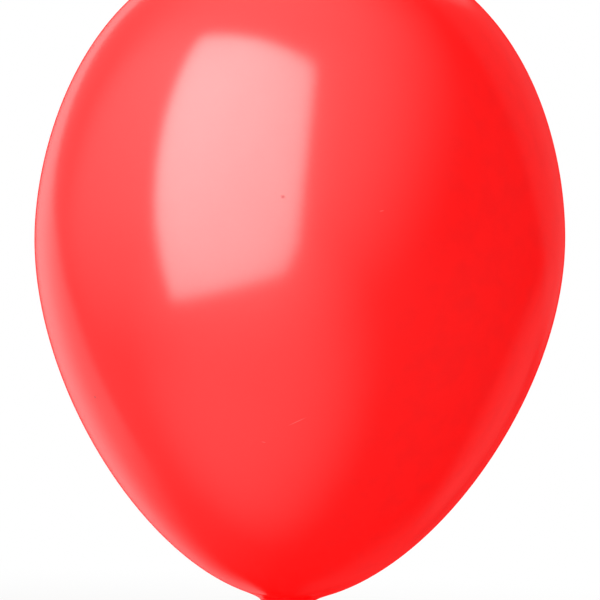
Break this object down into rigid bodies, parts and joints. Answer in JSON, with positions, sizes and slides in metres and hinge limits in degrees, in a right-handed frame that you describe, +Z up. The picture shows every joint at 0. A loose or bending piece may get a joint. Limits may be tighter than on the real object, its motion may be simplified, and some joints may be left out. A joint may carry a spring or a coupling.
{
  "type": "latex balloon",
  "caption": "Round blown latex balloon: glossy egg-shaped bulb, pleated neck tied in a knot, and a flared tail with a rolled lip.",
  "frame": {"origin": "middle of the gathered throat above the knot, where a ribbon is tied, on the balloon's axis", "axes": "+Z up along the axis from the knot to the crown; +X along the flattened tail's width; +Y towards the back"},
  "size_m": [0.28, 0.28, 0.4121],
  "materials": {
    "envelope": "gloss",
    "neck": "satin",
    "throat": "satin",
    "knot_core": "satin",
    "knot_turn": "satin",
    "tail": "satin",
    "rolled_lip": "satin"
  },
  "bodies": {
    "bulb": {"envelope": "envelope", "neck": "neck"},
    "throat": {"throat": "throat"},
    "knot": {"knot_core": "knot_core", "knot_turn": "knot_turn"},
    "tail": {"tail": "tail", "rolled_lip": "rolled_lip"}
  },
  "joints": [
    {"name": "neck_twist", "type": "hinge", "parent": "bulb", "child": "throat", "pos_m": [0, 0, 0.004], "axis": [0, 0, 1], "range_deg": [-150, 150], "stiffness_Nm_per_rad": 0.0004},
    {"name": "knot_sway", "type": "hinge", "parent": "throat", "child": "knot", "pos_m": [0, 0, -0.0087], "axis": [0, 1, 0], "range_deg": [-40, 40], "stiffness_Nm_per_rad": 0.001},
    {"name": "tail_swing", "type": "hinge", "parent": "knot", "child": "tail", "pos_m": [0, 0, -0.0162], "axis": [1, 0, 0], "range_deg": [-50, 50], "stiffness_Nm_per_rad": 0.001}
  ]
}
